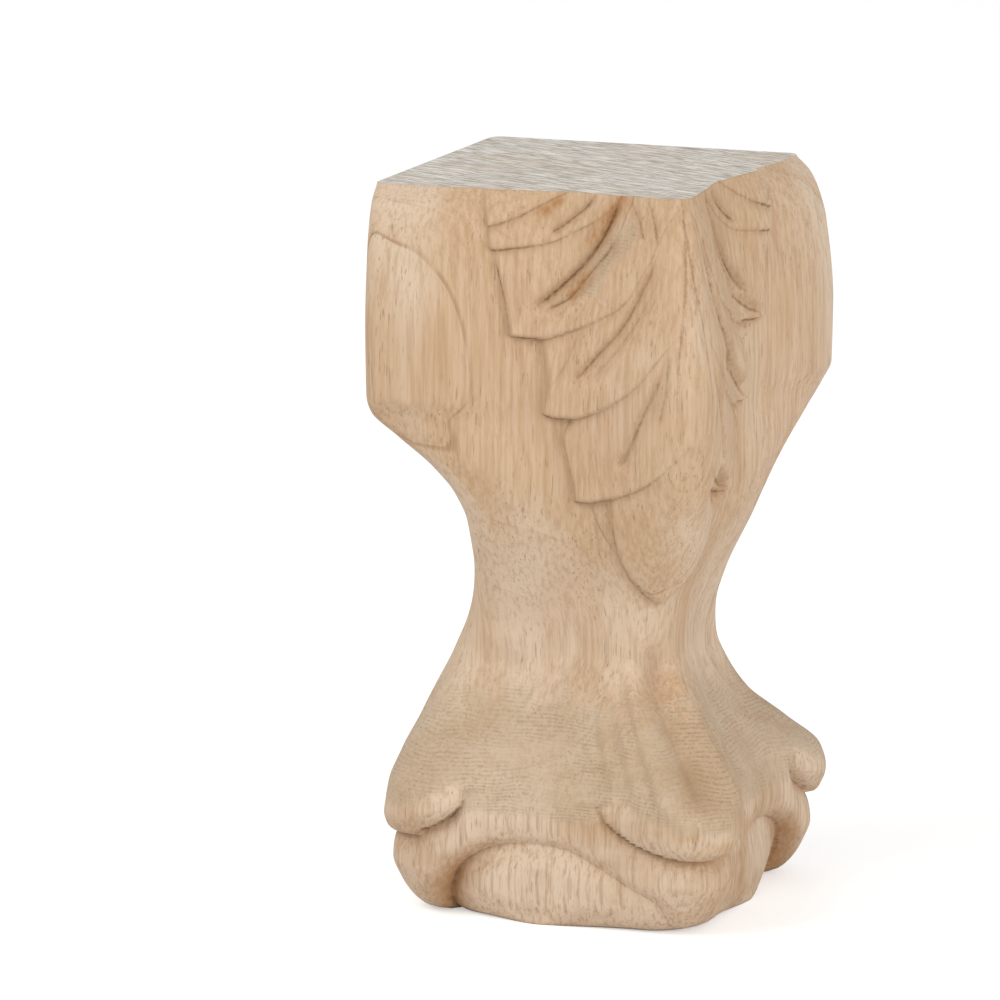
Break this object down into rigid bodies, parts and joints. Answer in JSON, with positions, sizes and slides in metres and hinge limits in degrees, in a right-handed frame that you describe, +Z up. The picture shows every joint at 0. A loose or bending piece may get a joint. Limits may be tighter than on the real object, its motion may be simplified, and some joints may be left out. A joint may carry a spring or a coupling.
{
  "type": "carved furniture leg",
  "caption": "Short carved wooden furniture leg: square post with a leaf on its front corner, curved ankle and flared foot with lobes.",
  "frame": {"origin": "on the floor, in the middle of the leg's box seen from above", "axes": "+Z up from the foot to the square top; the carved front corner points along +X and -Y"},
  "size_m": [0.0632, 0.0632, 0.12],
  "materials": {
    "rubberwood": "raw, sanded, unvarnished"
  },
  "bodies": {
    "root": {"carved_leg": "rubberwood"}
  },
  "joints": []
}
